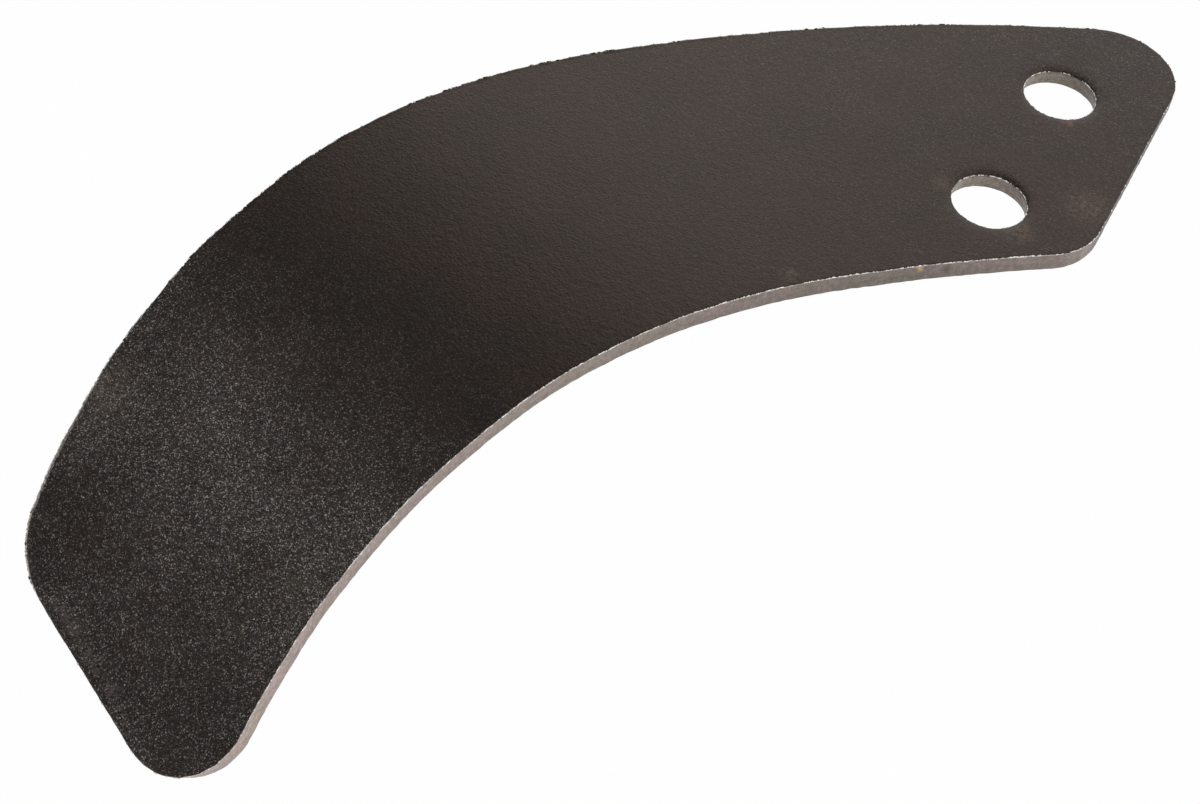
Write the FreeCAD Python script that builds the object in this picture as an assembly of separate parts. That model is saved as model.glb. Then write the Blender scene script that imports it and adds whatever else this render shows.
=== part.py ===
"""Rotary tiller blade: one steel plate, profile-cut to a hooked outline, pierced for two bolts, pressed to a sideways curve.

Millimetres and degrees. The origin is midway between the two bolt holes, on the face that lies on the rotor flange.
+Z is square to the bolted shank, +Y runs along the hole line towards the outer edge, and +X points at the cut end.
The blade hooks away towards -X and -Y, and its far end curves down, below the flange face.
"""
import FreeCAD
import Part
import math
import os

from FreeCAD import Vector

# The plate and its bolt holes
THICKNESS = 4.5
HOLE_DIAMETER = 17.0
HOLE_SPACING = 44.0
HOLE_STRAIGHT = 2.0  # depth below the convex face at which a hole starts to flare
HOLE_FLARE = 0.6  # how much wider a hole's radius is at the flange face, where the torch went in

# Construction allowances, which leave no mark on the blade
OVERRUN = 400.0
RUN_BACK = 60.0
LAST_TURN = 60.0
MARGIN = 3.0
SAMPLE_STEP = 2.0
SMALL = 1e-6

# The flat blank: the cut end, beside the holes
CUT_END_OFFSET = 24.0  # from the hole line to the cut end
CUT_END_LEAN = 1.6  # the cut end leans this much from the hole line

# The flat blank: the distance from each hole's centre to the line along which the nearest long edge sets off
OUTER_EDGE_DISTANCE = 27.0
INNER_EDGE_DISTANCE = 17.7

# The flat blank: each long edge leaves the cut end at a heading and is a chain of tangent arcs, (radius, turn)
OUTER_HEADING = -153.2
OUTER_ARCS = [(384.0, 22.5), (172.0, 28.5), (277.0, LAST_TURN)]
INNER_HEADING = -141.9
INNER_ARCS = [(429.0, 7.1), (181.0, 25.5), (284.0, LAST_TURN)]

# The flat blank: the tip is cut square to this bearing, this far from the origin
TIP_BEARING = -117.8
TIP_REACH = 241.4

# The flat blank: the radii of its four corners
OUTER_SHANK_CORNER = 16.3
INNER_SHANK_CORNER = 15.7
INNER_TIP_CORNER = 14.6
OUTER_TIP_CORNER = 19.9

# The bend, at the middle of the thickness: straight, then an easement whose curvature grows evenly, then round
BEND_BEARING = -102.9  # the way the plate runs as it curves down
BEND_START = 60.0
EASEMENT_LENGTH = 100.0
BEND_RADIUS = 174.0

UP = Vector(0, 0, 1)


def bearing(degrees):
    """The unit vector at this angle from +X, in the plane of the shank."""
    return Vector(math.cos(math.radians(degrees)), math.sin(math.radians(degrees)), 0)


MID_PLANE = UP * (THICKNESS / 2)
ALONG_BEND = bearing(BEND_BEARING)
ACROSS_BEND = bearing(BEND_BEARING + 90)
CUT_END_FOOT = Vector(CUT_END_OFFSET, 0, 0)
CUT_END_LINE = bearing(90 + CUT_END_LEAN)
CUT_END_OUT = bearing(CUT_END_LEAN)
TO_OUTER_HOLE = Vector(0, HOLE_SPACING / 2, 0)
TIP_OUT = bearing(TIP_BEARING)
TIP_FOOT = TIP_OUT * TIP_REACH


def long_edge(hole, distance, heading, outward, arcs):
    """One long edge of the blank: it passes the hole at this distance, then turns left in arcs.

    It begins with a straight that the end cut takes off again.
    """
    rise = ((hole - CUT_END_FOOT).dot(outward) + distance) / CUT_END_LINE.dot(outward)
    point = CUT_END_FOOT + CUT_END_LINE * rise
    edges = [Part.makeLine(point - bearing(heading) * RUN_BACK, point)]
    for radius, turn in arcs:
        centre = point + bearing(heading + 90) * radius
        middle = centre + bearing(heading - 90 + turn / 2) * radius
        end = centre + bearing(heading - 90 + turn) * radius
        edges.append(Part.Arc(point, middle, end).toShape())
        point = end
        heading += turn
    return edges


def beyond(foot, outward):
    """A large square of the shank plane, on the outward side of the line that crosses foot square to outward."""
    half_side = UP.cross(outward) * OVERRUN
    near = [foot - half_side, foot + half_side]
    far = [corner + outward * OVERRUN for corner in reversed(near)]
    return Part.Face(Part.makePolygon(near + far + near[:1]))


def sharp_blank():
    """The flat blank in the shank plane, with its four corners still sharp."""
    right = bearing(OUTER_HEADING - 90)
    left = bearing(INNER_HEADING + 90)
    outer = long_edge(TO_OUTER_HOLE, OUTER_EDGE_DISTANCE, OUTER_HEADING, right, OUTER_ARCS)
    inner = long_edge(-TO_OUTER_HOLE, INNER_EDGE_DISTANCE, INNER_HEADING, left, INNER_ARCS)
    first = Part.makeLine(outer[0].valueAt(outer[0].FirstParameter), inner[0].valueAt(inner[0].FirstParameter))
    last = Part.makeLine(outer[-1].valueAt(outer[-1].LastParameter), inner[-1].valueAt(inner[-1].LastParameter))
    strip = Part.Face(Part.Wire(Part.__sortEdges__(outer + inner + [first, last])))
    return strip.cut([beyond(CUT_END_FOOT, CUT_END_OUT), beyond(TIP_FOOT, TIP_OUT)])


def corners_on(blank, foot, outward):
    """The two sharp corners of the blank on an end cut, the one that comes first going round to the left."""
    points = [vertex.Point for vertex in blank.Vertexes if abs((vertex.Point - foot).dot(outward)) < SMALL]
    return sorted(points, key=lambda point: point.dot(UP.cross(outward)))


def blank_outline():
    """The outline of the flat blank in the shank plane, with its corners rounded."""
    blank = sharp_blank()
    corners = corners_on(blank, CUT_END_FOOT, CUT_END_OUT) + corners_on(blank, TIP_FOOT, TIP_OUT)
    radii = [INNER_SHANK_CORNER, OUTER_SHANK_CORNER, OUTER_TIP_CORNER, INNER_TIP_CORNER]
    prism = blank.extrude(UP)
    for corner, radius in zip(corners, radii, strict=True):
        upright = min(prism.Edges, key=lambda edge: edge.CenterOfMass.distanceToPoint(corner + UP / 2))
        prism = prism.makeFillet(radius, [upright])
    base = min(prism.Faces, key=lambda face: face.CenterOfMass.z)
    return base.OuterWire


def profile(run):
    """How far forward and down the plate's middle is, and its slope in radians, this far past the bend's start."""
    if run <= 0:
        return run, 0.0, 0.0
    eased = min(run, EASEMENT_LENGTH)
    slope = eased**2 / (2 * EASEMENT_LENGTH * BEND_RADIUS)
    forward = eased * (1 - slope**2 / 10 + slope**4 / 216)
    down = eased * (slope / 3 - slope**3 / 42 + slope**5 / 1320)
    steeper = slope + (run - eased) / BEND_RADIUS
    forward += BEND_RADIUS * (math.sin(steeper) - math.sin(slope))
    down += BEND_RADIUS * (math.cos(slope) - math.cos(steeper))
    return forward, down, steeper


def pressed(point, lift):
    """Where a point of the flat blank goes in the press, at this lift above the middle of the thickness."""
    forward, down, slope = profile(point.dot(ALONG_BEND) - BEND_START)
    middle = ACROSS_BEND * point.dot(ACROSS_BEND) + ALONG_BEND * (BEND_START + forward) - UP * down + MID_PLANE
    return middle + (ALONG_BEND * math.sin(slope) + UP * math.cos(slope)) * lift


def smooth_curve(points):
    """A curve through evenly spaced points of a smooth line."""
    curve = Part.BSplineCurve()
    curve.interpolate(Points=points, Parameters=[float(index) for index in range(len(points))])
    return curve.toShape()


def section_side(lift, length):
    """The pressed plate's section at this lift: a straight, the easement and a round bend, as three edges."""
    def at(run):
        return pressed(ALONG_BEND * (BEND_START + run), lift)

    steps = math.ceil(EASEMENT_LENGTH / SAMPLE_STEP)
    straight = Part.makeLine(at(-OVERRUN), at(0))
    easement = smooth_curve([at(EASEMENT_LENGTH * index / steps) for index in range(steps + 1)])
    bend = Part.Arc(at(EASEMENT_LENGTH), at((EASEMENT_LENGTH + length) / 2), at(length)).toShape()
    return [straight, easement, bend], at(-OVERRUN), at(length)


def pressed_strip(length):
    """A wide strip of the plate, already bent, that the blank's outline is then cut from."""
    upper, upper_first, upper_last = section_side(THICKNESS / 2, length)
    lower, lower_first, lower_last = section_side(-THICKNESS / 2, length)
    ends = [Part.makeLine(upper_first, lower_first), Part.makeLine(upper_last, lower_last)]
    section = Part.Face(Part.Wire(Part.__sortEdges__(upper + lower + ends)))
    section.translate(ACROSS_BEND * -OVERRUN)
    return section.extrude(ACROSS_BEND * (2 * OVERRUN))


def cut_wall(edge):
    """The cut through the plate along one edge of the outline, square to the bent plate and run past both its faces."""
    lift = THICKNESS / 2 + MARGIN
    steps = math.ceil(edge.Length / SAMPLE_STEP) + 1
    flat = edge.discretize(Number=steps + 1)
    if all(point.dot(ALONG_BEND) <= BEND_START for point in flat):
        return edge.translated(MID_PLANE - UP * lift).extrude(UP * (2 * lift))
    rails = [smooth_curve([pressed(point, side) for point in flat]) for side in (lift, -lift)]
    return Part.makeRuledSurface(*rails)


def hole_cutter(position):
    """What one bolt hole takes out: straight below the convex face, then a flare to the flange face."""
    radius = HOLE_DIAMETER / 2
    flare_top = THICKNESS - HOLE_STRAIGHT
    wide_end = radius + HOLE_FLARE * (flare_top + MARGIN) / flare_top
    straight = Part.makeCylinder(radius, THICKNESS + 2 * MARGIN, position - UP * MARGIN)
    flare = Part.makeCone(wide_end, radius, flare_top + MARGIN, position - UP * MARGIN)
    return straight.fuse(flare)


def blade():
    """The finished blade, as one solid."""
    outline = blank_outline()
    around = [point for edge in outline.Edges for point in edge.discretize(Distance=SAMPLE_STEP)]
    furthest = max(point.dot(ALONG_BEND) for point in around)
    strip = pressed_strip(furthest - BEND_START + MARGIN)
    pieces, _ = strip.generalFuse([cut_wall(edge) for edge in outline.Edges])
    plate = next(solid for solid in pieces.Solids if solid.isInside(MID_PLANE, SMALL, False))
    return plate.cut([hole_cutter(TO_OUTER_HOLE), hole_cutter(-TO_OUTER_HOLE)])


os.makedirs("parts", exist_ok=True)
finished = blade()
finished.exportStep("parts/blade.step")
print("blade: solids", len(finished.Solids), "valid", finished.isValid(), "volume", round(finished.Volume, 1))
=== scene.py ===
"""A rotary tiller blade: a flame-cut, pressed steel plate under thin black paint, with its rough cut edges and burrs.

The skin of the plate is drawn flat, as the blank is cut, and then carried through the press. Everything is in metres.
"""

import math
from dataclasses import dataclass

import bpy
import numpy as np
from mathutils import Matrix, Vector, geometry


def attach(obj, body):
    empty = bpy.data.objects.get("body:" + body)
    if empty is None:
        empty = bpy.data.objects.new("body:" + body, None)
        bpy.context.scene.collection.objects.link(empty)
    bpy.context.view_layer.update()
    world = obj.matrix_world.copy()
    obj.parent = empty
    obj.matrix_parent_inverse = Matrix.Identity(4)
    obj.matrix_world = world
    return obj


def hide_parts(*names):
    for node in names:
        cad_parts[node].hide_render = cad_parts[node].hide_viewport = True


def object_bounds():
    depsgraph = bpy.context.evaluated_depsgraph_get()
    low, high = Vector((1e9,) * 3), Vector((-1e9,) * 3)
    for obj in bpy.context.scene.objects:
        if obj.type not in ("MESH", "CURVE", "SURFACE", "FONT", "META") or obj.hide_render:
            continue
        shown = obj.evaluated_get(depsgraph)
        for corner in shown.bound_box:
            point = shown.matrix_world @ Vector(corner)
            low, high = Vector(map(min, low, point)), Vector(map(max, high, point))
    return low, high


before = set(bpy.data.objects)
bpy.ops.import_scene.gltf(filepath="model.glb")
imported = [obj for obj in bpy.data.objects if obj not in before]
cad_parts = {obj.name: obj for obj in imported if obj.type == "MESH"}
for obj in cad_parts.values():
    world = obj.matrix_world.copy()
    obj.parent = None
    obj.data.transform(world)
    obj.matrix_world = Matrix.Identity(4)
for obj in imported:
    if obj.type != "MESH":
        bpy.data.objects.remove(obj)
cad_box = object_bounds()

MM = 0.001
SEED = 7

# The plate and its bolt holes, as the CAD has them
THICKNESS = 4.5 * MM
HOLE_RADIUS = 8.5 * MM
HOLE_SPACING = 44.0 * MM
HOLE_STRAIGHT = 2.0 * MM
HOLE_FLARE = 0.6 * MM

# The flat blank, as the CAD has it
CUT_END_OFFSET = 24.0 * MM
CUT_END_LEAN = 1.6
OUTER_EDGE_DISTANCE = 27.0 * MM
INNER_EDGE_DISTANCE = 17.7 * MM
LAST_TURN = 60.0
OUTER_HEADING = -153.2
OUTER_ARCS = [(384.0 * MM, 22.5), (172.0 * MM, 28.5), (277.0 * MM, LAST_TURN)]
INNER_HEADING = -141.9
INNER_ARCS = [(429.0 * MM, 7.1), (181.0 * MM, 25.5), (284.0 * MM, LAST_TURN)]
TIP_BEARING = -117.8
TIP_REACH = 241.4 * MM
OUTER_SHANK_CORNER = 16.3 * MM
INNER_SHANK_CORNER = 15.7 * MM
INNER_TIP_CORNER = 14.6 * MM
OUTER_TIP_CORNER = 19.9 * MM

# The bend, as the CAD has it
BEND_BEARING = -102.9
BEND_START = 60.0 * MM
EASEMENT_LENGTH = 100.0 * MM
BEND_RADIUS = 174.0 * MM


def bearing(degrees):
    """The unit vector at this angle from +X, in the flat blank."""
    angle = math.radians(degrees)
    return np.array([math.cos(angle), math.sin(angle)])


def angle_of(vector):
    """The angle from +X of a flat vector, in degrees."""
    return math.degrees(math.atan2(vector[1], vector[0]))


ALONG_BEND = bearing(BEND_BEARING)
ACROSS_BEND = bearing(BEND_BEARING + 90)


# ---- the outline of the blank, as runs of line and arc ----


def edge_arcs(hole, distance, heading, outward, arcs):
    """The tangent arcs of one long edge, from the cut end on: (centre, radius, first angle, turn)."""
    foot = np.array([CUT_END_OFFSET, 0.0])
    line = bearing(90 + CUT_END_LEAN)
    rise = ((hole - foot) @ outward + distance) / (line @ outward)
    point = foot + line * rise
    runs = []
    for radius, turn in arcs:
        centre = point + bearing(heading + 90) * radius
        runs.append((centre, radius, heading - 90, turn))
        heading += turn
        point = centre + bearing(heading - 90) * radius
    return runs


def corner_centre(foot, outward, arc, radius, side, near):
    """The centre of the round that joins an end cut to an arc; side is 1 inside the arc's circle, -1 outside."""
    along = np.array([-outward[1], outward[0]])
    start = foot - outward * radius
    offset = start - arc[0]
    half = offset @ along
    spread = math.sqrt(half**2 - offset @ offset + (arc[1] - side * radius) ** 2)
    return min((start + along * (root - half) for root in (-spread, spread)), key=lambda p: np.linalg.norm(p - near))


def arc_run(centre, radius, first, turn):
    """A run that turns about a centre from one angle: how long it is, and what gives its points and outward normals."""

    def at(share):
        angles = np.radians(first + turn * share)
        radial = np.stack([np.cos(angles), np.sin(angles)], axis=1)
        return centre + radial * radius, radial * math.copysign(1, turn)

    return abs(math.radians(turn)) * radius, at


def straight_run(start, end):
    """A straight run, with the blank on its left."""
    along = (end - start) / np.linalg.norm(end - start)
    outward = np.array([along[1], -along[0]])

    def at(share):
        return start + (end - start) * share[:, None], np.repeat(outward[None], len(share), axis=0)

    return np.linalg.norm(end - start), at


def between(first, last):
    """The turn to the left from one angle to another, in degrees."""
    return (last - first) % 360


def blank_runs():
    """The whole outline of the blank, anticlockwise from the foot of the cut end."""
    half_spacing = np.array([0.0, HOLE_SPACING / 2])
    outer = edge_arcs(half_spacing, OUTER_EDGE_DISTANCE, OUTER_HEADING, bearing(OUTER_HEADING - 90), OUTER_ARCS)
    inner = edge_arcs(-half_spacing, INNER_EDGE_DISTANCE, INNER_HEADING, bearing(INNER_HEADING + 90), INNER_ARCS)
    end_foot, end_out = np.array([CUT_END_OFFSET, 0.0]), bearing(CUT_END_LEAN)
    tip_out = bearing(TIP_BEARING)
    tip_foot = tip_out * TIP_REACH
    wide = np.array([0.0, 1.0])
    # Each round has two possible centres, and the rough place given last picks the one on the blade
    outer_shank = corner_centre(end_foot, end_out, outer[0], OUTER_SHANK_CORNER, 1, end_foot + wide * 0.05)
    inner_shank = corner_centre(end_foot, end_out, inner[0], INNER_SHANK_CORNER, -1, end_foot - wide * 0.02)
    outer_tip = corner_centre(tip_foot, tip_out, outer[2], OUTER_TIP_CORNER, 1, tip_foot + bearing(180) * 0.03)
    inner_tip = corner_centre(tip_foot, tip_out, inner[2], INNER_TIP_CORNER, -1, tip_foot + bearing(0) * 0.02)

    end_angle, tip_angle = CUT_END_LEAN, TIP_BEARING
    outer_from = angle_of(outer_shank - outer[0][0])
    outer_to = angle_of(outer_tip - outer[2][0])
    inner_from = angle_of(inner_shank - inner[0][0])
    inner_to = angle_of(inner_tip - inner[2][0])
    runs = [
        straight_run(inner_shank + end_out * INNER_SHANK_CORNER, outer_shank + end_out * OUTER_SHANK_CORNER),
        arc_run(outer_shank, OUTER_SHANK_CORNER, end_angle, between(end_angle, outer_from)),
        arc_run(outer[0][0], outer[0][1], outer_from, between(outer_from, outer[1][2])),
        arc_run(*outer[1]),
        arc_run(outer[2][0], outer[2][1], outer[2][2], between(outer[2][2], outer_to)),
        arc_run(outer_tip, OUTER_TIP_CORNER, outer_to, between(outer_to, tip_angle)),
        straight_run(outer_tip + tip_out * OUTER_TIP_CORNER, inner_tip + tip_out * INNER_TIP_CORNER),
        arc_run(inner_tip, INNER_TIP_CORNER, tip_angle, between(tip_angle, inner_to + 180)),
        arc_run(inner[2][0], inner[2][1], inner_to, -between(inner[2][2], inner_to)),
        arc_run(inner[1][0], inner[1][1], inner[1][2] + inner[1][3], -inner[1][3]),
        arc_run(inner[0][0], inner[0][1], inner[0][2] + inner[0][3], -between(inner_from, inner[1][2])),
        arc_run(inner_shank, INNER_SHANK_CORNER, inner_from + 180, between(inner_from + 180, end_angle)),
    ]
    return runs


def walk(runs, step):
    """Evenly spaced points round a loop of runs: points, outward normals, distances gone, and each run's start."""
    lengths = np.array([run[0] for run in runs])
    starts = np.concatenate([[0.0], np.cumsum(lengths)])
    count = round(starts[-1] / step)
    gone = np.arange(count) * starts[-1] / count
    points, outward = np.zeros((count, 2)), np.zeros((count, 2))
    for (length, at), start in zip(runs, starts):
        here = (gone >= start) & (gone < start + length)
        points[here], outward[here] = at((gone[here] - start) / length)
    return points, outward, gone, starts


def pressed(flat, lift):
    """Where points of the flat blank go in the press, at this lift above the middle of the thickness."""
    run = flat @ ALONG_BEND - BEND_START
    eased = np.clip(run, 0.0, EASEMENT_LENGTH)
    slope = eased**2 / (2 * EASEMENT_LENGTH * BEND_RADIUS)
    steeper = slope + np.maximum(run - EASEMENT_LENGTH, 0.0) / BEND_RADIUS
    forward = eased * (1 - slope**2 / 10 + slope**4 / 216) + BEND_RADIUS * (np.sin(steeper) - np.sin(slope))
    forward = np.where(run <= 0, run, forward)
    down = eased * (slope / 3 - slope**3 / 42 + slope**5 / 1320) + BEND_RADIUS * (np.cos(slope) - np.cos(steeper))
    plan = np.outer(flat @ ACROSS_BEND, ACROSS_BEND)
    plan = plan + np.outer(BEND_START + forward + np.sin(steeper) * lift, ALONG_BEND)
    height = THICKNESS / 2 - down + np.cos(steeper) * lift
    return np.column_stack([plan, height])


# ---- the skin of the plate ----


def wander(places, period, pitch, seed):
    """A smooth random run of numbers round a loop, about 1 high, that turns every pitch or so."""
    count = max(4, round(period / pitch))
    values = np.random.default_rng(seed).normal(size=count)
    spot = np.asarray(places) / period * count
    whole = np.floor(spot).astype(int)
    share = spot - whole
    share = share * share * (3 - 2 * share)
    return values[whole % count] * (1 - share) + values[(whole + 1) % count] * share


def near(gone, period, middle, reach):
    """1 at a place on a loop, fading to 0 this far each way from it."""
    apart = np.abs((gone - middle + period / 2) % period - period / 2)
    return np.clip(1 - apart / reach, 0, 1)


LOOP_STEP = 0.5 * MM
FACE_PITCH = 3.0 * MM
FACE_INSET = 2.4 * MM
WALL_ROWS = 10
# (inset from the wall, drop from the convex face) across the rim, then the wall, then the flange rim
UPPER_RIM = [(FACE_INSET, 0.0), (1.3 * MM, 0.0), (0.6 * MM, 0.0), (0.2 * MM, 0.015 * MM), (0.06 * MM, 0.07 * MM)]
CREST = len(UPPER_RIM) - 1  # the last point of the section before the wall
# How much lower the section runs where the rim is rolled over, at each of its points down to the wall
ROLLED = np.array([0.0, 0.10, 0.27, 0.42, 0.46, 0.46]) * MM
WALL_TOP = 0.18 * MM
WALL_FOOT = THICKNESS - 0.35 * MM
LOWER_RIM = [(0.1 * MM, THICKNESS - 0.1 * MM), (0.38 * MM, THICKNESS), (1.1 * MM, THICKNESS), (FACE_INSET, THICKNESS)]
PAINT, WALL, HOLE_WALL = range(3)

# How far the outline strays from its line: in slow waves, in bigger ones near the tip, in nicks and in ripples
WAVE = 0.05 * MM
TIP_WAVE = 0.16 * MM
NICK = 0.05 * MM
RIPPLE = 0.05 * MM
LIP = 0.14 * MM  # how high the burr stands up along the outer edge
CORNER_WEAR = 0.7  # how worn the rim is round the outer corner of the tip, as a share of a hole's rolled rim

# The same for the holes
HOLE_NICK = 0.04 * MM
HOLE_RIPPLE = 0.04 * MM
HOLE_BARE = 0.16


def rim_section():
    """The section of the skin from the convex face, down the wall, to the flange face.

    Gives its points, as insets and drops, and the finish of each band between two of them.
    """
    drops = np.linspace(WALL_TOP, WALL_FOOT, WALL_ROWS)
    section = UPPER_RIM + [(0.0, drop) for drop in drops] + LOWER_RIM
    bands = [PAINT] * len(UPPER_RIM) + [WALL] * (WALL_ROWS - 1) + [PAINT] * len(LOWER_RIM)
    return np.array(section), np.array(bands)


def drag_lines(gone, period, drops, slant, height, seed):
    """The ripples that a cutting torch leaves in a wall: slanted lines, each running from the convex face down."""
    shift = gone[:, None] + slant * drops[None, :]
    fine = wander(shift, period, 0.9 * MM, seed)
    coarse = wander(shift, period, 3.5 * MM, seed + 1)
    deeper = 0.4 + 0.6 * drops[None, :] / THICKNESS
    return height * (0.6 * fine * deeper + 0.5 * coarse)


class Skin:
    """The mesh of the plate's skin as it grows: flat points with their lift, faces with a finish, and a rim map."""

    def __init__(self):
        self.flat, self.lift, self.bare, self.tone, self.faces, self.finish, self.rim_map = [], [], [], [], [], [], []
        self.count = 0

    def add_points(self, flat, lift, bare, tone):
        first = self.count
        self.flat.append(flat)
        self.lift.append(lift)
        self.bare.append(bare)
        self.tone.append(tone)
        self.count += len(flat)
        return first

    def add_wrap(self, points, outward, gone, period, section, bands, rough, flare, sag, bare, tone):
        """Wraps the rim section round one loop. Returns the first indices of its top and bottom rings."""
        rings = []
        for column, (inset, drop) in enumerate(section):
            out = rough[:, column] - inset - flare[column]
            lift = THICKNESS / 2 - drop - sag[:, column]
            rings.append(self.add_points(points + outward * out[:, None], lift, bare, tone))
        depth = np.concatenate([[0.0], np.cumsum(np.hypot(*np.diff(section, axis=0).T))])
        count = len(points)
        here = np.arange(count)
        ahead = (here + 1) % count
        gone_ahead = np.append(gone[1:], period)
        for column, band in enumerate(bands):
            upper, lower = rings[column], rings[column + 1]
            self.faces.append(np.column_stack([upper + here, lower + here, lower + ahead, upper + ahead]))
            self.finish.append(np.full(count, band))
            corners = [(gone, depth[column]), (gone, depth[column + 1])]
            corners += [(gone_ahead, depth[column + 1]), (gone_ahead, depth[column])]
            maps = [np.column_stack([along, np.full(count, across)]) for along, across in corners]
            self.rim_map.append(np.stack(maps, axis=1))
        return rings[0], rings[-1]


def face_pattern(loops):
    """The grid points and triangles that fill the face inside the first loop and outside the others."""
    boundary = np.concatenate(loops)
    low, high = loops[0].min(axis=0), loops[0].max(axis=0)
    reach = np.linalg.norm(high - low)
    middle = (low + high) / 2
    ticks = np.arange(-reach / 2, reach / 2, FACE_PITCH)
    across, along = np.meshgrid(ticks, ticks * 0.866)  # rows of nearly equilateral triangles
    across = across + (np.arange(len(ticks)) % 2)[:, None] * FACE_PITCH / 2
    grid = middle + across.ravel()[:, None] * ACROSS_BEND + along.ravel()[:, None] * ALONG_BEND
    closest = np.array([np.min(np.linalg.norm(boundary - point, axis=1)) for point in grid])
    grid = grid[(closest > FACE_PITCH * 0.6) & within(grid, loops[0])]
    for hole in loops[1:]:
        grid = grid[~within(grid, hole)]
    points = np.concatenate([boundary, grid])
    edges, first = [], 0
    for loop in loops:
        edges += [(first + i, first + (i + 1) % len(loop)) for i in range(len(loop))]
        first += len(loop)
    flat = [Vector(point) for point in points * 1000]
    verts, _, faces, origin, _, _ = geometry.delaunay_2d_cdt(flat, edges, [], 0, 1e-7)
    assert len(verts) == len(points)
    order = np.array([source[0] for source in origin])
    faces = order[np.array(faces)]
    centres = points[faces].mean(axis=1)
    keep = within(centres, loops[0])
    for hole in loops[1:]:
        keep &= ~within(centres, hole)
    return grid, faces[keep]


def within(points, loop):
    """Whether each point lies inside a closed loop."""
    ahead = np.roll(loop, -1, axis=0)
    inside = np.zeros(len(points), bool)
    for (x0, y0), (x1, y1) in zip(loop, ahead):
        if y0 == y1:
            continue
        crosses = (points[:, 1] < y0) != (points[:, 1] < y1)
        inside ^= crosses & (points[:, 0] < x0 + (points[:, 1] - y0) * (x1 - x0) / (y1 - y0))
    return inside


def hole_loop(side):
    """Points round one bolt hole, clockwise, so that the plate is on the left."""
    count = round(2 * math.pi * HOLE_RADIUS / LOOP_STEP)
    angles = -2 * math.pi * np.arange(count) / count
    radial = np.stack([np.cos(angles), np.sin(angles)], axis=1)
    centre = np.array([0.0, side * HOLE_SPACING / 2])
    return centre + radial * HOLE_RADIUS, -radial, -angles * HOLE_RADIUS


@dataclass
class Rim:
    """One closed rim, as wrapped: where it runs, how far out and down its crest lies, and where its rings begin."""

    kind: str
    points: np.ndarray
    outward: np.ndarray
    gone: np.ndarray
    starts: np.ndarray
    crest_out: np.ndarray
    crest_down: np.ndarray
    top: int
    bottom: int


def wrap_outline(skin, section, bands):
    """The rim and the wall round the outline."""
    points, outward, gone, starts = walk(blank_runs(), LOOP_STEP)
    period = starts[-1]
    on_wall = section[:, 0] == 0.0
    share = 1 - section[:, 0] / FACE_INSET
    before_tip = (starts[5] + starts[6]) / 2 - 75 * MM
    wavy = WAVE * wander(gone, period, 11 * MM, SEED)
    wavy += TIP_WAVE * near(gone, period, before_tip, 70 * MM) * wander(gone, period, 8 * MM, SEED + 1)
    nicks = NICK * wander(gone, period, 1.4 * MM, SEED + 2)
    rough = wavy[:, None] * share + nicks[:, None] * np.where(on_wall, 0.3, share**8)
    rough = rough + on_wall * drag_lines(gone, period, section[:, 1], 0.55, RIPPLE, SEED + 3)

    # How wide a strip of the rim is bare, in millimetres: widest round the outer corner of the tip, none on its end
    worn_corner = np.clip(2.2 * near(gone, period, starts[5] - 4 * MM, 30 * MM), 0, 1)
    bare = np.full(len(gone), 0.22)
    bare[gone < starts[1]] = 0.10
    bare[(gone > starts[1]) & (gone < starts[5])] = 0.26
    bare[(gone > starts[5]) & (gone < starts[7])] = 0.06
    bare += 0.75 * worn_corner

    # How pale the wall is drawn: nearly black on the cut end, whose wall is painted black; palest round the inner
    # corner of the tip and paler round the inner corner of the shank, where the paleness is a painted reflection of the
    # white floor
    spots = [0, starts[1] - 4 * MM, starts[1], starts[5], starts[7], starts[8], starts[8] + 25 * MM, starts[9]]
    spots += [(starts[9] + starts[10]) / 2, starts[10], starts[11] - 30 * MM, starts[11], starts[11] + 9 * MM, period]
    paint_and_sheen_levels = [0.35, 0.30, 0.35, 0.4, 1.6, 2.0, 1.7, 1.4, 1.2, 0.95, 0.9, 1.15, 1.3, 0.35]
    tone = np.interp(gone, spots, paint_and_sheen_levels)

    # The rim is worn round at the outer corner of the tip. Along the outer edge the burr stands up as a low lip
    sag = np.zeros(rough.shape)
    sag[:, : len(ROLLED)] = CORNER_WEAR * ROLLED * worn_corner[:, None]
    lip_spots = [0, starts[2], starts[3], starts[5] - 40 * MM, starts[5] - 20 * MM, period]
    lip = np.interp(gone, lip_spots, [0, 0, 1, 1, 0, 0])
    lip = lip * np.clip(0.6 + 0.5 * wander(gone, period, 2.5 * MM, SEED + 5), 0.1, 1.4)
    sag[:, CREST - 1 : CREST + 2] -= LIP * lip[:, None]

    no_flare = np.zeros(len(section))
    top, bottom = skin.add_wrap(points, outward, gone, period, section, bands, rough, no_flare, sag, bare, tone)
    return Rim("outline", points, outward, gone, starts, rough[:, CREST], sag[:, CREST], top, bottom)


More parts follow.
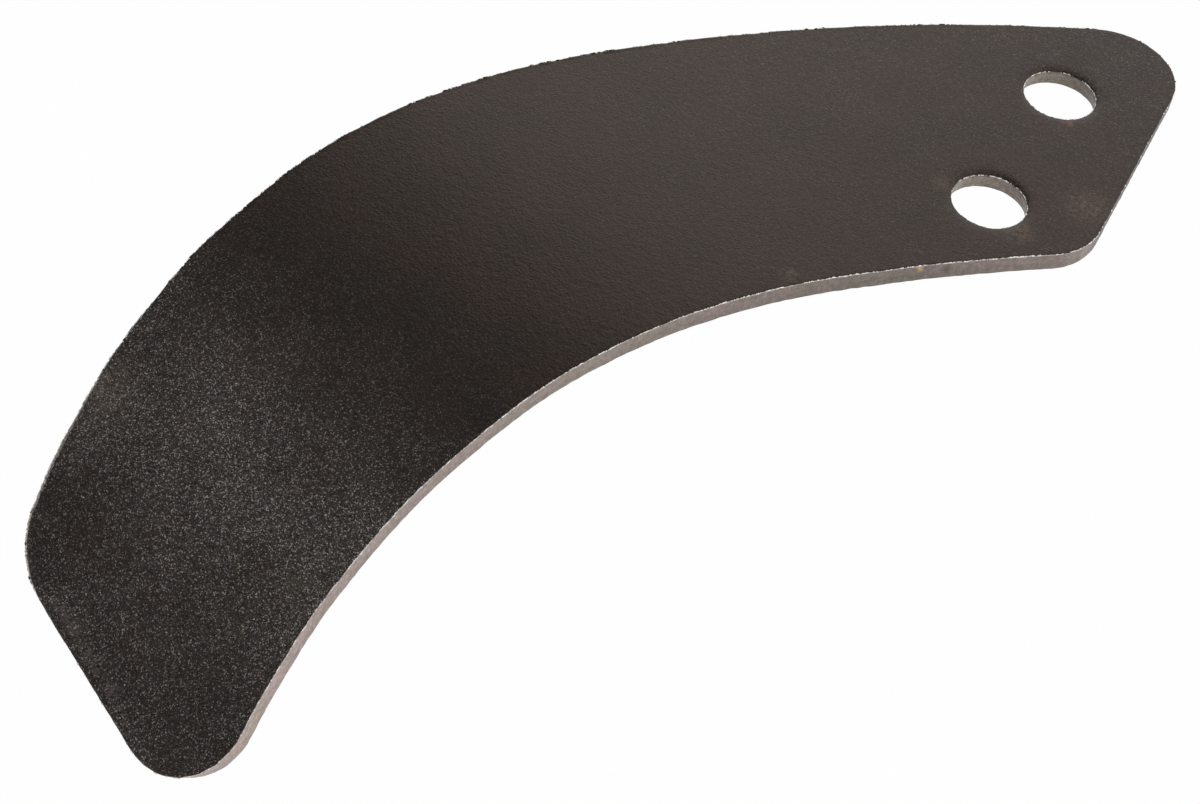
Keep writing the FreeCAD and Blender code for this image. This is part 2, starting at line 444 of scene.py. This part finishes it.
def wrap_hole(skin, section, bands, side):
    """The rim and the wall of a bolt hole: side is 1 for the outer hole, -1 for the inner one."""
    points, outward, gone = hole_loop(side)
    period = 2 * math.pi * HOLE_RADIUS
    on_wall = section[:, 0] == 0.0
    share = 1 - section[:, 0] / FACE_INSET
    nicks = HOLE_NICK * wander(gone, period, 1.2 * MM, SEED + 10 + side)
    rough = nicks[:, None] * np.where(on_wall, 0.3, share**8)
    rough = rough + on_wall * drag_lines(gone, period, section[:, 1], 0.3, HOLE_RIPPLE, SEED + 20 + side)
    flare_share = np.clip((section[:, 1] - HOLE_STRAIGHT) / (THICKNESS - HOLE_STRAIGHT), 0, 1)
    flare = HOLE_FLARE * flare_share * (section[:, 0] < FACE_INSET)
    sag = np.zeros(rough.shape)
    sag[:, : len(ROLLED)] = ROLLED
    finish = np.where(bands == WALL, HOLE_WALL, bands)
    bare = np.full(len(points), HOLE_BARE)
    # The inner hole's wall is the paler, and both carry painted light: they are paler on the side away from the cut
    # end, where the wall faces +X
    tone = (1.15 if side > 0 else 1.3) + 0.25 * outward[:, 0]
    top, bottom = skin.add_wrap(points, outward, gone, period, section, finish, rough, flare, sag, bare, tone)
    starts = np.array([0.0, period])
    return Rim("hole", points, outward, gone, starts, np.zeros(len(points)), sag[:, CREST], top, bottom)


def fill_faces(skin, rims):
    """The convex face and the flange face, between the rims."""
    grid, triangles = face_pattern([rim.points - rim.outward * FACE_INSET for rim in rims])
    for is_upper in (True, False):
        lift = np.full(len(grid), THICKNESS / 2 if is_upper else -THICKNESS / 2)
        own = skin.add_points(grid, lift, np.zeros(len(grid)), np.ones(len(grid)))
        blocks = [np.arange(len(rim.points)) + (rim.top if is_upper else rim.bottom) for rim in rims]
        faces = np.concatenate([*blocks, np.arange(len(grid)) + own])[triangles]
        skin.faces.append(faces if is_upper else faces[:, ::-1])
        skin.finish.append(np.full(len(faces), PAINT))
        skin.rim_map.append(np.zeros((len(faces), 3, 2)))


def build_skin():
    """The plate's skin, with both faces, rolled rims and torch-cut walls, and the rims that it has."""
    section, bands = rim_section()
    skin = Skin()
    rims = [wrap_outline(skin, section, bands)]
    rims += [wrap_hole(skin, section, bands, side) for side in (1, -1)]
    fill_faces(skin, rims)
    return skin, rims


def mesh_of(skin, materials):
    """The skin as a Blender mesh, carried through the press."""
    flat = np.concatenate(skin.flat)
    lift = np.concatenate(skin.lift)
    mesh = bpy.data.meshes.new("blade_skin")
    faces = [face for block in skin.faces for face in block.tolist()]
    mesh.from_pydata(pressed(flat, lift).tolist(), [], faces)
    mesh.polygons.foreach_set("material_index", np.concatenate(skin.finish).astype(np.int32))
    mesh.polygons.foreach_set("use_smooth", np.ones(len(faces), bool))
    rim_map = np.concatenate([block.reshape(-1, 2) for block in skin.rim_map])
    mesh.uv_layers.new(name="rim").uv.foreach_set("vector", (rim_map / MM).astype(np.float32).ravel())
    past = (flat @ ALONG_BEND - BEND_START) / MM
    bare, tone = np.concatenate(skin.bare), np.concatenate(skin.tone)
    # The wall level holds dark paint on the cut end and a painted reflection of the floor towards the tip
    for name, values in (("past_bend", past), ("bare_rim", bare), ("wall_paint_and_sheen", tone)):
        mesh.attributes.new(name, "FLOAT", "POINT").data.foreach_set("value", values.astype(np.float32))
    for material in materials:
        mesh.materials.append(material)
    mesh.validate()
    return mesh


# ---- finishes ----

# How far across the rim map the wall begins, in millimetres
EDGE_AT = float(np.sum(np.hypot(*np.diff(np.array(UPPER_RIM + [(0.0, WALL_TOP)]), axis=0).T))) / MM


def linear(code):
    """A colour written as sRGB hex, as the linear values that the shaders take."""
    shares = [int(code[i : i + 2], 16) / 255 for i in (1, 3, 5)]
    return (*(c / 12.92 if c <= 0.04045 else ((c + 0.055) / 1.055) ** 2.4 for c in shares), 1.0)


def add(tree, kind, inputs=None, **settings):
    """Adds a node with its settings; each input takes a value or a link from another node's socket."""
    made = tree.nodes.new(kind)
    for name, value in settings.items():
        setattr(made, name, value)
    for key, value in (inputs or {}).items():
        if isinstance(value, bpy.types.NodeSocket):
            tree.links.new(value, made.inputs[key])
        else:
            made.inputs[key].default_value = value
    return made


def finish_material(name):
    """A new material, with its node tree and its one shader."""
    made = bpy.data.materials.new(name)
    made.use_nodes = True
    return made, made.node_tree, made.node_tree.nodes["Principled BSDF"]


def mark(tree, where, broken, place, reach, strength):
    """How much of a mark shows: a soft ragged spot round a place on the blade. Place and reach are in millimetres."""
    apart = add(tree, "ShaderNodeVectorMath", {0: where, 1: Vector(place) * MM}, operation="DISTANCE").outputs["Value"]
    span = {"Value": apart, "From Min": 0.0, "From Max": reach * MM, "To Min": strength, "To Max": 0.0}
    spot = add(tree, "ShaderNodeMapRange", span, interpolation_type="SMOOTHSTEP").outputs[0]
    return add(tree, "ShaderNodeMath", {0: spot, 1: broken}, operation="MULTIPLY").outputs[0]


# How thick the grit is, and with it the painted glint specks, by how far a place is past the start of the bend in
# millimetres, up to the reach. The peak, near 130 mm, is where the key lamp's sheen crosses the bend
GRIT_AND_GLINT_REACH = 200
GRIT_AND_GLINT_ALONG = [(0, 0.10), (72, 0.10), (96, 0.36), (112, 0.72), (128, 1.0), (143, 0.92), (158, 0.62), (200, 0.78)]

# Marks on the convex face: place in millimetres, reach, strength and colour
FACE_MARKS = [
    ((-137.0, -161.0, -16.0), 11.0, 0.45, "#7d6e61"),  # a dusty rub near the outer edge of the tip
    ((-76.0, -180.0, -18.0), 8.0, 0.22, "#6d6152"),  # a smudge near the inner edge of the tip
    ((-127.0, -181.0, -26.0), 24.0, 0.75, "#16110e"),  # a darker, near-black patch inside the outer corner of the tip, which also covers the painted glint specks there
    ((5.2, 13.4, 4.5), 2.2, 1.0, "#8f6040"),  # rust just below the outer hole
    ((-10.8, -23.0, 4.5), 3.6, 0.5, "#7a6450"),  # a scuff beside the inner hole
    ((9.5, -27.5, 4.5), 5.5, 0.6, "#7a6652"),  # a brown rub below the inner hole
    ((19.5, -11.0, 4.5), 8.0, 0.5, "#7d7060"),  # rubs beside the cut end
    ((-6.0, 35.0, 4.5), 0.9, 1.0, "#a39b90"),  # a chip above the outer hole
    ((-27.0, -69.0, 4.5), 3.0, 0.5, "#7d7164"),  # a chip by the inner edge
]

# Marks on the cut walls: place in millimetres, reach and colour
WALL_MARKS = [
    ((-4.6, -50.3, 4.0), 1.1, "#d0a878"),  # a fleck of rust at the top of the inner wall
    ((-4.3, -50.1, 3.2), 0.9, "#c89c6c"),
    ((0.1, -46.0, 2.6), 1.8, "#5f5040"),  # a brown stain beside it
]


def satin_black_paint():
    """Satin black spray paint on hot-rolled steel: nearly black, brownish where it shines.

    It is tight and fine on the shank. Past the bend it went on dry, and there pale specks painted into its colour stand
    for the light that its grit catches: painted glints.
    Along the rims it has rubbed through to bright, mottled steel.
    """
    made, tree, shader = finish_material("satin_black_paint")
    where = add(tree, "ShaderNodeTexCoord").outputs["Object"]
    past = add(tree, "ShaderNodeAttribute", attribute_name="past_bend").outputs["Fac"]
    past_share = add(tree, "ShaderNodeMath", {0: past, 1: 1 / GRIT_AND_GLINT_REACH}, operation="MULTIPLY").outputs[0]
    thickness = add(tree, "ShaderNodeFloatCurve", {"Value": past_share})
    curve = thickness.mapping.curves[0]
    for place, height in GRIT_AND_GLINT_ALONG[1:-1]:
        curve.points.new(place / GRIT_AND_GLINT_REACH, height)
    for point, (place, height) in zip(curve.points, GRIT_AND_GLINT_ALONG):
        point.location = (place / GRIT_AND_GLINT_REACH, height)
    thickness.mapping.update()
    grit_and_glints = thickness.outputs[0]

    clouds = add(tree, "ShaderNodeTexNoise", {"Vector": where, "Scale": 1 / (16 * MM), "Detail": 5.0, "Roughness": 0.6})
    cloudy = add(tree, "ShaderNodeMapRange", {"Value": clouds.outputs["Fac"], "From Min": 0.35, "From Max": 0.65})
    tint = add(tree, "ShaderNodeSeparateColor", {0: clouds.outputs["Color"]}).outputs
    base = {0: cloudy.outputs[0], 6: linear("#10110d"), 7: linear("#1d1513")}
    base = add(tree, "ShaderNodeMix", base, data_type="RGBA").outputs[2]

    # Painted glints: most grains stay dark and a few are painted as pale specks, standing in for the key lamp's sparkle
    # on the grit. They are drawn 0.21 mm wide, coarser than the real grit, so that they show
    grains = add(tree, "ShaderNodeTexVoronoi", {"Vector": where, "Scale": 1 / (0.21 * MM)})
    chance = add(tree, "ShaderNodeSeparateColor", {0: grains.outputs["Color"]}).outputs
    few = add(tree, "ShaderNodeMath", {0: chance[0], 1: 14.0}, operation="POWER").outputs[0]
    many = add(tree, "ShaderNodeMath", {0: chance[0], 1: 0.22}, operation="MULTIPLY").outputs[0]
    few = add(tree, "ShaderNodeMath", {0: few, 1: 1.5}, operation="MULTIPLY").outputs[0]
    bright = add(tree, "ShaderNodeMath", {0: few, 1: many}, operation="ADD").outputs[0]
    bright = add(tree, "ShaderNodeMath", {0: bright, 1: grit_and_glints}, operation="MULTIPLY").outputs[0]
    patchy = {"Value": tint[1], "From Min": 0.3, "From Max": 0.7, "To Min": 0.6, "To Max": 1.1}
    patch = add(tree, "ShaderNodeMapRange", patchy).outputs[0]
    bright = add(tree, "ShaderNodeMath", {0: bright, 1: patch}, operation="MULTIPLY").outputs[0]
    # The pale colours of the painted glint specks
    glint_speck_colour = {0: chance[1], 6: linear("#a3a7ae"), 7: linear("#ae9e8e")}
    glint_speck_colour = add(tree, "ShaderNodeMix", glint_speck_colour, data_type="RGBA").outputs[2]
    colour = add(tree, "ShaderNodeMix", {0: bright, 6: base, 7: glint_speck_colour}, data_type="RGBA").outputs[2]

    ragged = {"Vector": where, "Scale": 1 / (1.1 * MM), "Detail": 4.0, "Roughness": 0.7}
    ragged = add(tree, "ShaderNodeTexNoise", ragged)
    broken = add(tree, "ShaderNodeMapRange", {"Value": ragged.outputs["Fac"], "From Min": 0.42, "From Max": 0.62})
    for place, reach, strength, code in FACE_MARKS:
        share = mark(tree, where, broken.outputs[0], place, reach, strength)
        colour = add(tree, "ShaderNodeMix", {0: share, 6: colour, 7: linear(code)}, data_type="RGBA").outputs[2]

    # Bare steel along the rims: rim_map runs round the loop and across the rim, in millimetres
    rim = add(tree, "ShaderNodeUVMap", uv_map="rim").outputs[0]
    across = add(tree, "ShaderNodeSeparateXYZ", {0: rim}).outputs[1]
    inset = add(tree, "ShaderNodeMath", {0: EDGE_AT, 1: across}, operation="SUBTRACT").outputs[0]
    width = add(tree, "ShaderNodeAttribute", attribute_name="bare_rim").outputs["Fac"]
    stretch = add(tree, "ShaderNodeMapping", {"Vector": rim, "Scale": (0.9, 2.2, 1.0)}).outputs[0]
    scraps = add(tree, "ShaderNodeTexNoise", {"Vector": stretch, "Scale": 1.0, "Detail": 4.0, "Roughness": 0.75})
    edge = add(tree, "ShaderNodeMath", {0: scraps.outputs["Fac"], 1: 1.7}, operation="MULTIPLY").outputs[0]
    edge = add(tree, "ShaderNodeMath", {0: edge, 1: width}, operation="MULTIPLY").outputs[0]
    room = add(tree, "ShaderNodeMath", {0: edge, 1: inset}, operation="SUBTRACT").outputs[0]
    bare = add(tree, "ShaderNodeMapRange", {"Value": room, "From Min": 0.02, "From Max": 0.10}).outputs[0]
    near_side = add(tree, "ShaderNodeMath", {0: across, 1: EDGE_AT + 0.3}, operation="LESS_THAN").outputs[0]
    bare = add(tree, "ShaderNodeMath", {0: bare, 1: near_side}, operation="MULTIPLY").outputs[0]
    fine = add(tree, "ShaderNodeTexNoise", {"Vector": rim, "Scale": 2.4, "Detail": 3.0, "Roughness": 0.8})
    steel = add(tree, "ShaderNodeMapRange", {"Value": fine.outputs["Fac"], "From Min": 0.38, "From Max": 0.62})
    steel = {0: steel.outputs[0], 6: linear("#77726c"), 7: linear("#f4f0ea")}
    steel = add(tree, "ShaderNodeMix", steel, data_type="RGBA").outputs[2]
    colour = add(tree, "ShaderNodeMix", {0: bare, 6: colour, 7: steel}, data_type="RGBA").outputs[2]
    tree.links.new(colour, shader.inputs["Base Color"])
    tree.links.new(bare, shader.inputs["Metallic"])

    grain = add(tree, "ShaderNodeTexNoise", {"Vector": where, "Scale": 1 / (0.55 * MM), "Detail": 3.0})
    rough_span = {"Value": grain.outputs["Fac"], "To Min": 0.28, "To Max": 0.46}
    tree.links.new(add(tree, "ShaderNodeMapRange", rough_span).outputs[0], shader.inputs["Roughness"])
    height = add(tree, "ShaderNodeMapRange", {"Value": grit_and_glints, "To Min": 0.5, "To Max": 1.0}).outputs[0]
    peel = add(tree, "ShaderNodeTexNoise", {"Vector": where, "Scale": 1 / (1.5 * MM), "Detail": 2.0})
    peel = {0: peel.outputs["Fac"], 1: 0.8, 2: grain.outputs["Fac"]}
    peel = add(tree, "ShaderNodeMath", peel, operation="MULTIPLY_ADD").outputs[0]
    bumps = {"Strength": height, "Distance": 0.17 * MM, "Height": peel}
    tree.links.new(add(tree, "ShaderNodeBump", bumps).outputs[0], shader.inputs["Normal"])
    shine = add(tree, "ShaderNodeMapRange", {"Value": grit_and_glints, "To Min": 0.5, "To Max": 0.22}).outputs[0]
    tree.links.new(shine, shader.inputs["Specular IOR Level"])
    shader.inputs["IOR"].default_value = 1.5
    shader.inputs["Specular Tint"].default_value = linear("#ffdccb")
    return made


def cut_wall(name, upper, lower, streaks):
    """A flame-cut wall under a mist of paint: warm grey scale, mottled pink and olive, with short slanting scratches.

    The colours are those of its upper and lower parts, each a pair that the mottling runs between.
    """
    made, tree, shader = finish_material(name)
    rim = add(tree, "ShaderNodeUVMap", uv_map="rim").outputs[0]
    across = add(tree, "ShaderNodeSeparateXYZ", {0: rim}).outputs[1]
    where = add(tree, "ShaderNodeTexCoord").outputs["Object"]
    mottle = {"Vector": where, "Scale": 1 / (1.1 * MM), "Detail": 5.0, "Roughness": 0.8}
    mottle = add(tree, "ShaderNodeTexNoise", mottle)
    spread = add(tree, "ShaderNodeMapRange", {"Value": mottle.outputs["Fac"], "From Min": 0.36, "From Max": 0.64})
    pairs = []
    for dark, pale in (upper, lower):
        pair = {0: spread.outputs[0], 6: linear(dark), 7: linear(pale)}
        pairs.append(add(tree, "ShaderNodeMix", pair, data_type="RGBA").outputs[2])
    waver = {0: mottle.outputs["Fac"], 1: 1.6, 2: across}
    level = add(tree, "ShaderNodeMath", waver, operation="MULTIPLY_ADD").outputs[0]
    change = {"Value": level, "From Min": EDGE_AT + 2.5, "From Max": EDGE_AT + 3.3}
    share = add(tree, "ShaderNodeMapRange", change).outputs[0]
    colour = add(tree, "ShaderNodeMix", {0: share, 6: pairs[0], 7: pairs[1]}, data_type="RGBA").outputs[2]

    # Patches of pinkish and of olive scale, a few millimetres wide
    broad = add(tree, "ShaderNodeTexNoise", {"Vector": where, "Scale": 1 / (7 * MM), "Detail": 3.0})
    hue = add(tree, "ShaderNodeMapRange", {"Value": broad.outputs["Fac"], "From Min": 0.4, "From Max": 0.6}).outputs[0]
    cast = add(tree, "ShaderNodeMix", {0: hue, 6: (0.95, 0.95, 0.86, 1), 7: (1.06, 0.99, 1.00, 1)}, data_type="RGBA")
    colour = add(tree, "ShaderNodeVectorMath", {0: colour, 1: cast.outputs[2]}, operation="MULTIPLY").outputs[0]

    slant = add(tree, "ShaderNodeMapping", {"Vector": rim, "Rotation": (0.0, 0.0, -0.6)}).outputs[0]
    stretch = add(tree, "ShaderNodeMapping", {"Vector": slant, "Scale": (3.2, 0.8, 1.0)}).outputs[0]
    lines = add(tree, "ShaderNodeTexNoise", {"Vector": stretch, "Scale": 1.0, "Detail": 3.0, "Roughness": 0.6})
    swing = {"From Min": 0.3, "From Max": 0.7, "To Min": 1 - streaks, "To Max": 1 + streaks}
    streak = add(tree, "ShaderNodeMapRange", {"Value": lines.outputs["Fac"], **swing}).outputs[0]
    # The wall level scales the colour: dark where the wall is painted black, pale where it stands for a painted
    # reflection of the white floor
    tone = add(tree, "ShaderNodeAttribute", attribute_name="wall_paint_and_sheen").outputs["Fac"]
    streak = add(tree, "ShaderNodeMath", {0: streak, 1: tone}, operation="MULTIPLY").outputs[0]
    colour = add(tree, "ShaderNodeVectorMath", {0: colour, "Scale": streak}, operation="SCALE").outputs[0]
    for place, reach, code in WALL_MARKS:
        share = mark(tree, where, 1.0, place, reach, 1.0)
        colour = add(tree, "ShaderNodeMix", {0: share, 6: colour, 7: linear(code)}, data_type="RGBA").outputs[2]
    tree.links.new(colour, shader.inputs["Base Color"])
    shader.inputs["Roughness"].default_value = 0.45
    bumps = {"Strength": 0.6, "Distance": 0.08 * MM, "Height": lines.outputs["Fac"]}
    tree.links.new(add(tree, "ShaderNodeBump", bumps).outputs[0], shader.inputs["Normal"])
    return made


def burr_steel():
    """Bare steel on the crest of the burr: bright, a little warm, slightly brushed by handling."""
    made, tree, shader = finish_material("bare_steel_burr")
    where = add(tree, "ShaderNodeTexCoord").outputs["Object"]
    rubbed = add(tree, "ShaderNodeTexNoise", {"Vector": where, "Scale": 1 / (1.2 * MM), "Detail": 2.0})
    share = add(tree, "ShaderNodeMapRange", {"Value": rubbed.outputs["Fac"], "From Min": 0.35, "From Max": 0.6})
    pair = {0: share.outputs[0], 6: linear("#b9b2aa"), 7: linear("#fdfaf5")}
    tree.links.new(add(tree, "ShaderNodeMix", pair, data_type="RGBA").outputs[2], shader.inputs["Base Color"])
    shader.inputs["Metallic"].default_value = 1.0
    shader.inputs["Roughness"].default_value = 0.25
    return made


# ---- burr beads, scattered along the rims ----


def bead_tree():
    """Small beads along a line, each kept by chance: the line's own burr attribute says how likely."""
    tree = bpy.data.node_groups.new("burr_beads", "GeometryNodeTree")
    sockets = [("Rim", "Geometry"), ("Spacing", "Float"), ("Size", "Float"), ("Jitter", "Float"), ("Seed", "Int")]
    for name, kind in sockets + [("Finish", "Material")]:
        tree.interface.new_socket(name=name, in_out="INPUT", socket_type="NodeSocket" + kind)
    tree.interface.new_socket(name="Beads", in_out="OUTPUT", socket_type="NodeSocketGeometry")
    given = add(tree, "NodeGroupInput").outputs
    curve = add(tree, "GeometryNodeMeshToCurve", {"Mesh": given["Rim"]}).outputs[0]
    places = add(tree, "GeometryNodeCurveToPoints", {"Curve": curve, "Length": given["Spacing"]}, mode="LENGTH")
    burr = add(tree, "GeometryNodeInputNamedAttribute", {"Name": "burr"}, data_type="FLOAT").outputs[0]
    chance = {"Probability": burr, "Seed": given["Seed"]}
    kept = add(tree, "FunctionNodeRandomValue", chance, data_type="BOOLEAN").outputs[3]
    away = {0: (-1.0, -1.0, -1.0), 1: (1.0, 1.0, 1.0), "Seed": given["Seed"]}
    away = add(tree, "FunctionNodeRandomValue", away, data_type="FLOAT_VECTOR").outputs[0]
    away = add(tree, "ShaderNodeVectorMath", {0: away, "Scale": given["Jitter"]}, operation="SCALE").outputs[0]
    moved = add(tree, "GeometryNodeSetPosition", {"Geometry": places.outputs["Points"], "Offset": away}).outputs[0]
    bead = add(tree, "GeometryNodeMeshIcoSphere", {"Radius": 1.0, "Subdivisions": 1}).outputs["Mesh"]
    shape = {0: (0.35, 0.35, 0.5), 1: (1.0, 0.9, 2.6), "Seed": given["Seed"]}
    shape = add(tree, "FunctionNodeRandomValue", shape, data_type="FLOAT_VECTOR").outputs[0]
    scale = add(tree, "ShaderNodeVectorMath", {0: shape, "Scale": given["Size"]}, operation="SCALE").outputs[0]
    laid = {"Points": moved, "Selection": kept, "Instance": bead, "Scale": scale}
    laid["Rotation"] = places.outputs["Rotation"]
    beads = add(tree, "GeometryNodeInstanceOnPoints", laid).outputs[0]
    beads = add(tree, "GeometryNodeRealizeInstances", {0: beads}).outputs[0]
    beads = add(tree, "GeometryNodeSetShadeSmooth", {0: beads}).outputs[0]
    beads = add(tree, "GeometryNodeSetMaterial", {"Geometry": beads, "Material": given["Finish"]}).outputs[0]
    add(tree, "NodeGroupOutput", {"Beads": beads})
    return tree


def rim_beads(name, lines, tree, finish, spacing, size, jitter, seed):
    """One object with all the beads of a kind: lines are closed runs of points with their chance of a bead."""
    mesh = bpy.data.meshes.new(name + "_line")
    edges, first = [], 0
    for points, _ in lines:
        edges += [(first + i, first + (i + 1) % len(points)) for i in range(len(points))]
        first += len(points)
    mesh.from_pydata(np.concatenate([points for points, _ in lines]).tolist(), edges, [])
    chance = np.concatenate([likely for _, likely in lines]).astype(np.float32)
    mesh.attributes.new("burr", "FLOAT", "POINT").data.foreach_set("value", chance)
    piece = bpy.data.objects.new(name, mesh)
    bpy.context.scene.collection.objects.link(piece)
    scatter = piece.modifiers.new("beads", "NODES")
    scatter.node_group = tree
    values = {"Spacing": spacing, "Size": size, "Jitter": jitter, "Seed": seed, "Finish": finish}
    for socket in tree.interface.items_tree:
        if socket.item_type == "SOCKET" and socket.name in values:
            scatter[socket.identifier] = values[socket.name]
    depsgraph = bpy.context.evaluated_depsgraph_get()
    made = bpy.data.meshes.new_from_object(piece.evaluated_get(depsgraph), depsgraph=depsgraph)
    piece.modifiers.clear()
    piece.data = made
    made.name = name
    return piece


# ---- the pieces ----

skin, rims = build_skin()
materials = [
    satin_black_paint(),
    cut_wall("flame_cut_edge", ("#736863", "#958985"), ("#6a605a", "#8e827e"), 0.20),
    cut_wall("flame_cut_hole", ("#726b66", "#8f8782"), ("#5d5348", "#92877b"), 0.32),
]
blade = bpy.data.objects.new("blade_skin", mesh_of(skin, materials))
bpy.context.scene.collection.objects.link(blade)
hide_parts("blade")
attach(blade, "root")


BEAD_INSET = 0.05 * MM  # how far inside the crest of its rim the line of beads runs
BEAD_SINK = 0.04 * MM  # and how far below the convex face


def burr_lines(kind):
    """The crest of each rim, and how likely a bead is there: "bright" for bare steel, "painted" for paint-covered."""
    lines = []
    for index, rim in enumerate(rims):
        starts, period = rim.starts, rim.starts[-1]
        out = rim.crest_out - BEAD_INSET
        place = pressed(rim.points + rim.outward * out[:, None], THICKNESS / 2 - BEAD_SINK - rim.crest_down)
        patches = 0.5 + 0.5 * wander(rim.gone, period, 3.0 * MM, SEED + 40 + index)
        if rim.kind == "hole":
            likely = np.clip(patches * 1.4, 0, 1) * (0.8 if kind == "bright" else 0.0)
        elif kind == "bright":
            spots = [0, starts[1], starts[2], starts[4], starts[5], starts[6], starts[7]]
            spots += [starts[8] + 30 * MM, starts[9], period]
            dense = np.interp(rim.gone, spots, [0.3, 0.2, 0.35, 0.6, 0.9, 0.1, 0.3, 1.0, 0.95, 0.9])
            likely = np.clip(patches * 1.5, 0.15, 1) * dense
        else:
            spots = [0, starts[1], starts[2] + 10 * MM, starts[3], starts[4], starts[5], starts[6], period]
            dense = np.interp(rim.gone, spots, [0.0, 0.0, 0.1, 0.5, 0.6, 0.4, 0.0, 0.0])
            likely = np.clip(patches * 1.4 - 0.4, 0, 1) * dense
        lines.append((place, np.clip(likely, 0, 1)))
    return lines


# Name, kind, finish, spacing, size, jitter and seed of each kind of bead
BEAD_KINDS = [
    ("bare_burr", "bright", burr_steel(), 0.33 * MM, 0.20 * MM, 0.05 * MM, SEED),
    ("painted_burr", "painted", materials[PAINT], 0.6 * MM, 0.24 * MM, 0.06 * MM, SEED + 1),
]
bead_nodes = bead_tree()
for name, kind, finish, spacing, size, jitter, seed in BEAD_KINDS:
    beads = rim_beads(name, burr_lines(kind), bead_nodes, finish, spacing, size, jitter, seed)
    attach(beads, "root")


# ---- the studio ----

low, high = cad_box


def white_floor():
    """A matt white sheet just under the tip. It stays white behind the blade and keeps a soft shadow."""
    made, tree, shader = finish_material("white_studio_sheet")
    shader.inputs["Base Color"].default_value = linear("#f4f4f4")
    shader.inputs["Roughness"].default_value = 0.9
    path = add(tree, "ShaderNodeLightPath").outputs
    seen = add(tree, "ShaderNodeMath", {0: path["Is Camera Ray"], 1: path["Is Glossy Ray"]}, operation="MAXIMUM")
    seen = add(tree, "ShaderNodeMath", {0: seen.outputs[0], 1: path["Is Transmission Ray"]}, operation="MAXIMUM")
    share = add(tree, "ShaderNodeMath", {0: seen.outputs[0], 1: 0.985}, operation="MULTIPLY").outputs[0]
    glow = add(tree, "ShaderNodeEmission", {"Color": (1, 1, 1, 1), "Strength": 1.0}).outputs[0]
    mixed = add(tree, "ShaderNodeMixShader", {0: share, 1: shader.outputs[0], 2: glow}).outputs[0]
    tree.links.new(mixed, tree.nodes["Material Output"].inputs["Surface"])
    return made


FLOOR_HALF = 6.0
floor_mesh = bpy.data.meshes.new("studio_floor")
corners = [(-FLOOR_HALF, -FLOOR_HALF), (FLOOR_HALF, -FLOOR_HALF), (FLOOR_HALF, FLOOR_HALF), (-FLOOR_HALF, FLOOR_HALF)]
floor_mesh.from_pydata([(x, y, low.z - 1 * MM) for x, y in corners], [], [(0, 1, 2, 3)])
floor_mesh.materials.append(white_floor())
floor = bpy.data.objects.new("studio_floor", floor_mesh)
bpy.context.scene.collection.objects.link(floor)


def studio_world():
    """A white surround with a dark patch overhead, to the left."""
    world = bpy.data.worlds.new("white_surround")
    world.use_nodes = True
    tree = world.node_tree
    toward = add(tree, "ShaderNodeTexCoord").outputs["Generated"]
    dark_way = Vector((-0.62, -0.20, 0.76)).normalized()
    turned = add(tree, "ShaderNodeVectorMath", {0: toward, 1: dark_way}, operation="DOT_PRODUCT").outputs["Value"]
    ramp = add(tree, "ShaderNodeValToRGB", {0: turned})
    ramp.color_ramp.interpolation = "EASE"
    ramp.color_ramp.elements[0].position = 0.50
    ramp.color_ramp.elements[0].color = (1, 1, 1, 1)
    ramp.color_ramp.elements[1].position = 0.78
    ramp.color_ramp.elements[1].color = (0.07, 0.07, 0.07, 1)
    tree.links.new(ramp.outputs[0], tree.nodes["Background"].inputs["Color"])
    tree.nodes["Background"].inputs["Strength"].default_value = 1.0
    bpy.context.scene.world = world


studio_world()


def soft_lamp(name, toward, distance, size, level):
    """A square lamp that lights the blade from this way; level is how far it alone would light a white card."""
    data = bpy.data.lights.new(name, "AREA")
    data.shape = "SQUARE"
    data.size = size
    data.energy = level * math.pi * math.pi * distance**2
    lamp = bpy.data.objects.new(name, data)
    toward = Vector(toward).normalized()
    centre = (low + high) / 2
    lamp.location = centre + toward * distance
    lamp.rotation_euler = toward.to_track_quat("Z", "Y").to_euler()
    bpy.context.scene.collection.objects.link(lamp)


soft_lamp("key_lamp", (-0.545, -0.279, 0.79), 1.6, 0.5, 0.06)
soft_lamp("back_lamp", (-0.38, 0.70, 0.60), 1.8, 1.0, 0.06)

# The camera looks down on the convex face from in front, at a fairly long lens
camera_data = bpy.data.cameras.new("camera")
camera_data.sensor_width = 36.0
camera_data.lens = 64.96
camera_data.clip_start = 0.02
camera_data.clip_end = 50.0
camera = bpy.data.objects.new("camera", camera_data)
camera.location = (0.06840, -0.38629, 0.32249)
camera.rotation_mode = "QUATERNION"
camera.rotation_quaternion = (0.899152, 0.355157, 0.045251, 0.251678)
bpy.context.scene.collection.objects.link(camera)
bpy.context.scene.camera = camera

bpy.context.scene.view_settings.view_transform = "Standard"
